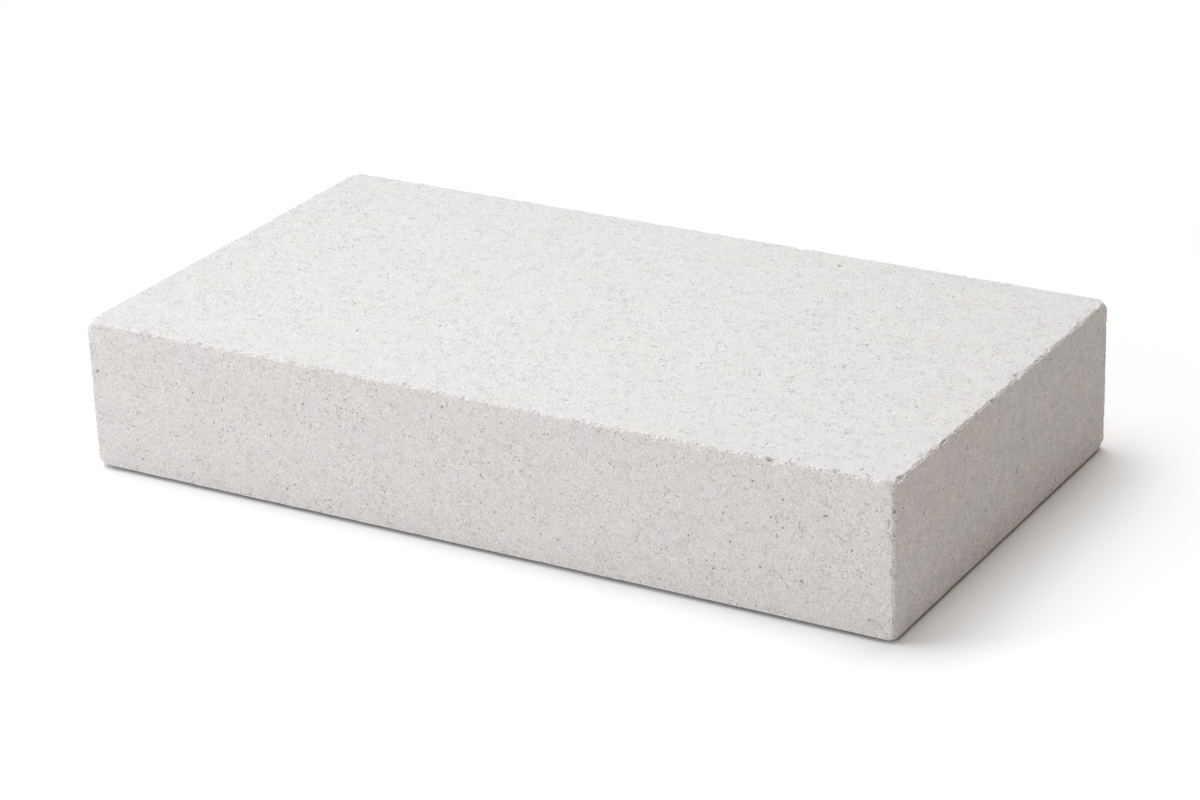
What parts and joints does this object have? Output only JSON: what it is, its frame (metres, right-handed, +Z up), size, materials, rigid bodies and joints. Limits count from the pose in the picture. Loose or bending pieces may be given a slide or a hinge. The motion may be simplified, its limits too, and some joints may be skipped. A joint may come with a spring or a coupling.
{
  "type": "calcium silicate levelling block",
  "caption": "Low solid calcium silicate block laid as the levelling course under a masonry wall.",
  "frame": {"origin": "middle of the lower bed face, on the surface that the block lies on", "axes": "+X along the block's length and the wall's run, +Y across its width, +Z up through its height"},
  "size_m": [0.437, 0.24, 0.078],
  "materials": {
    "calcium_silicate": "matte"
  },
  "bodies": {
    "root": {"levelling_block": "calcium_silicate"}
  },
  "joints": []
}
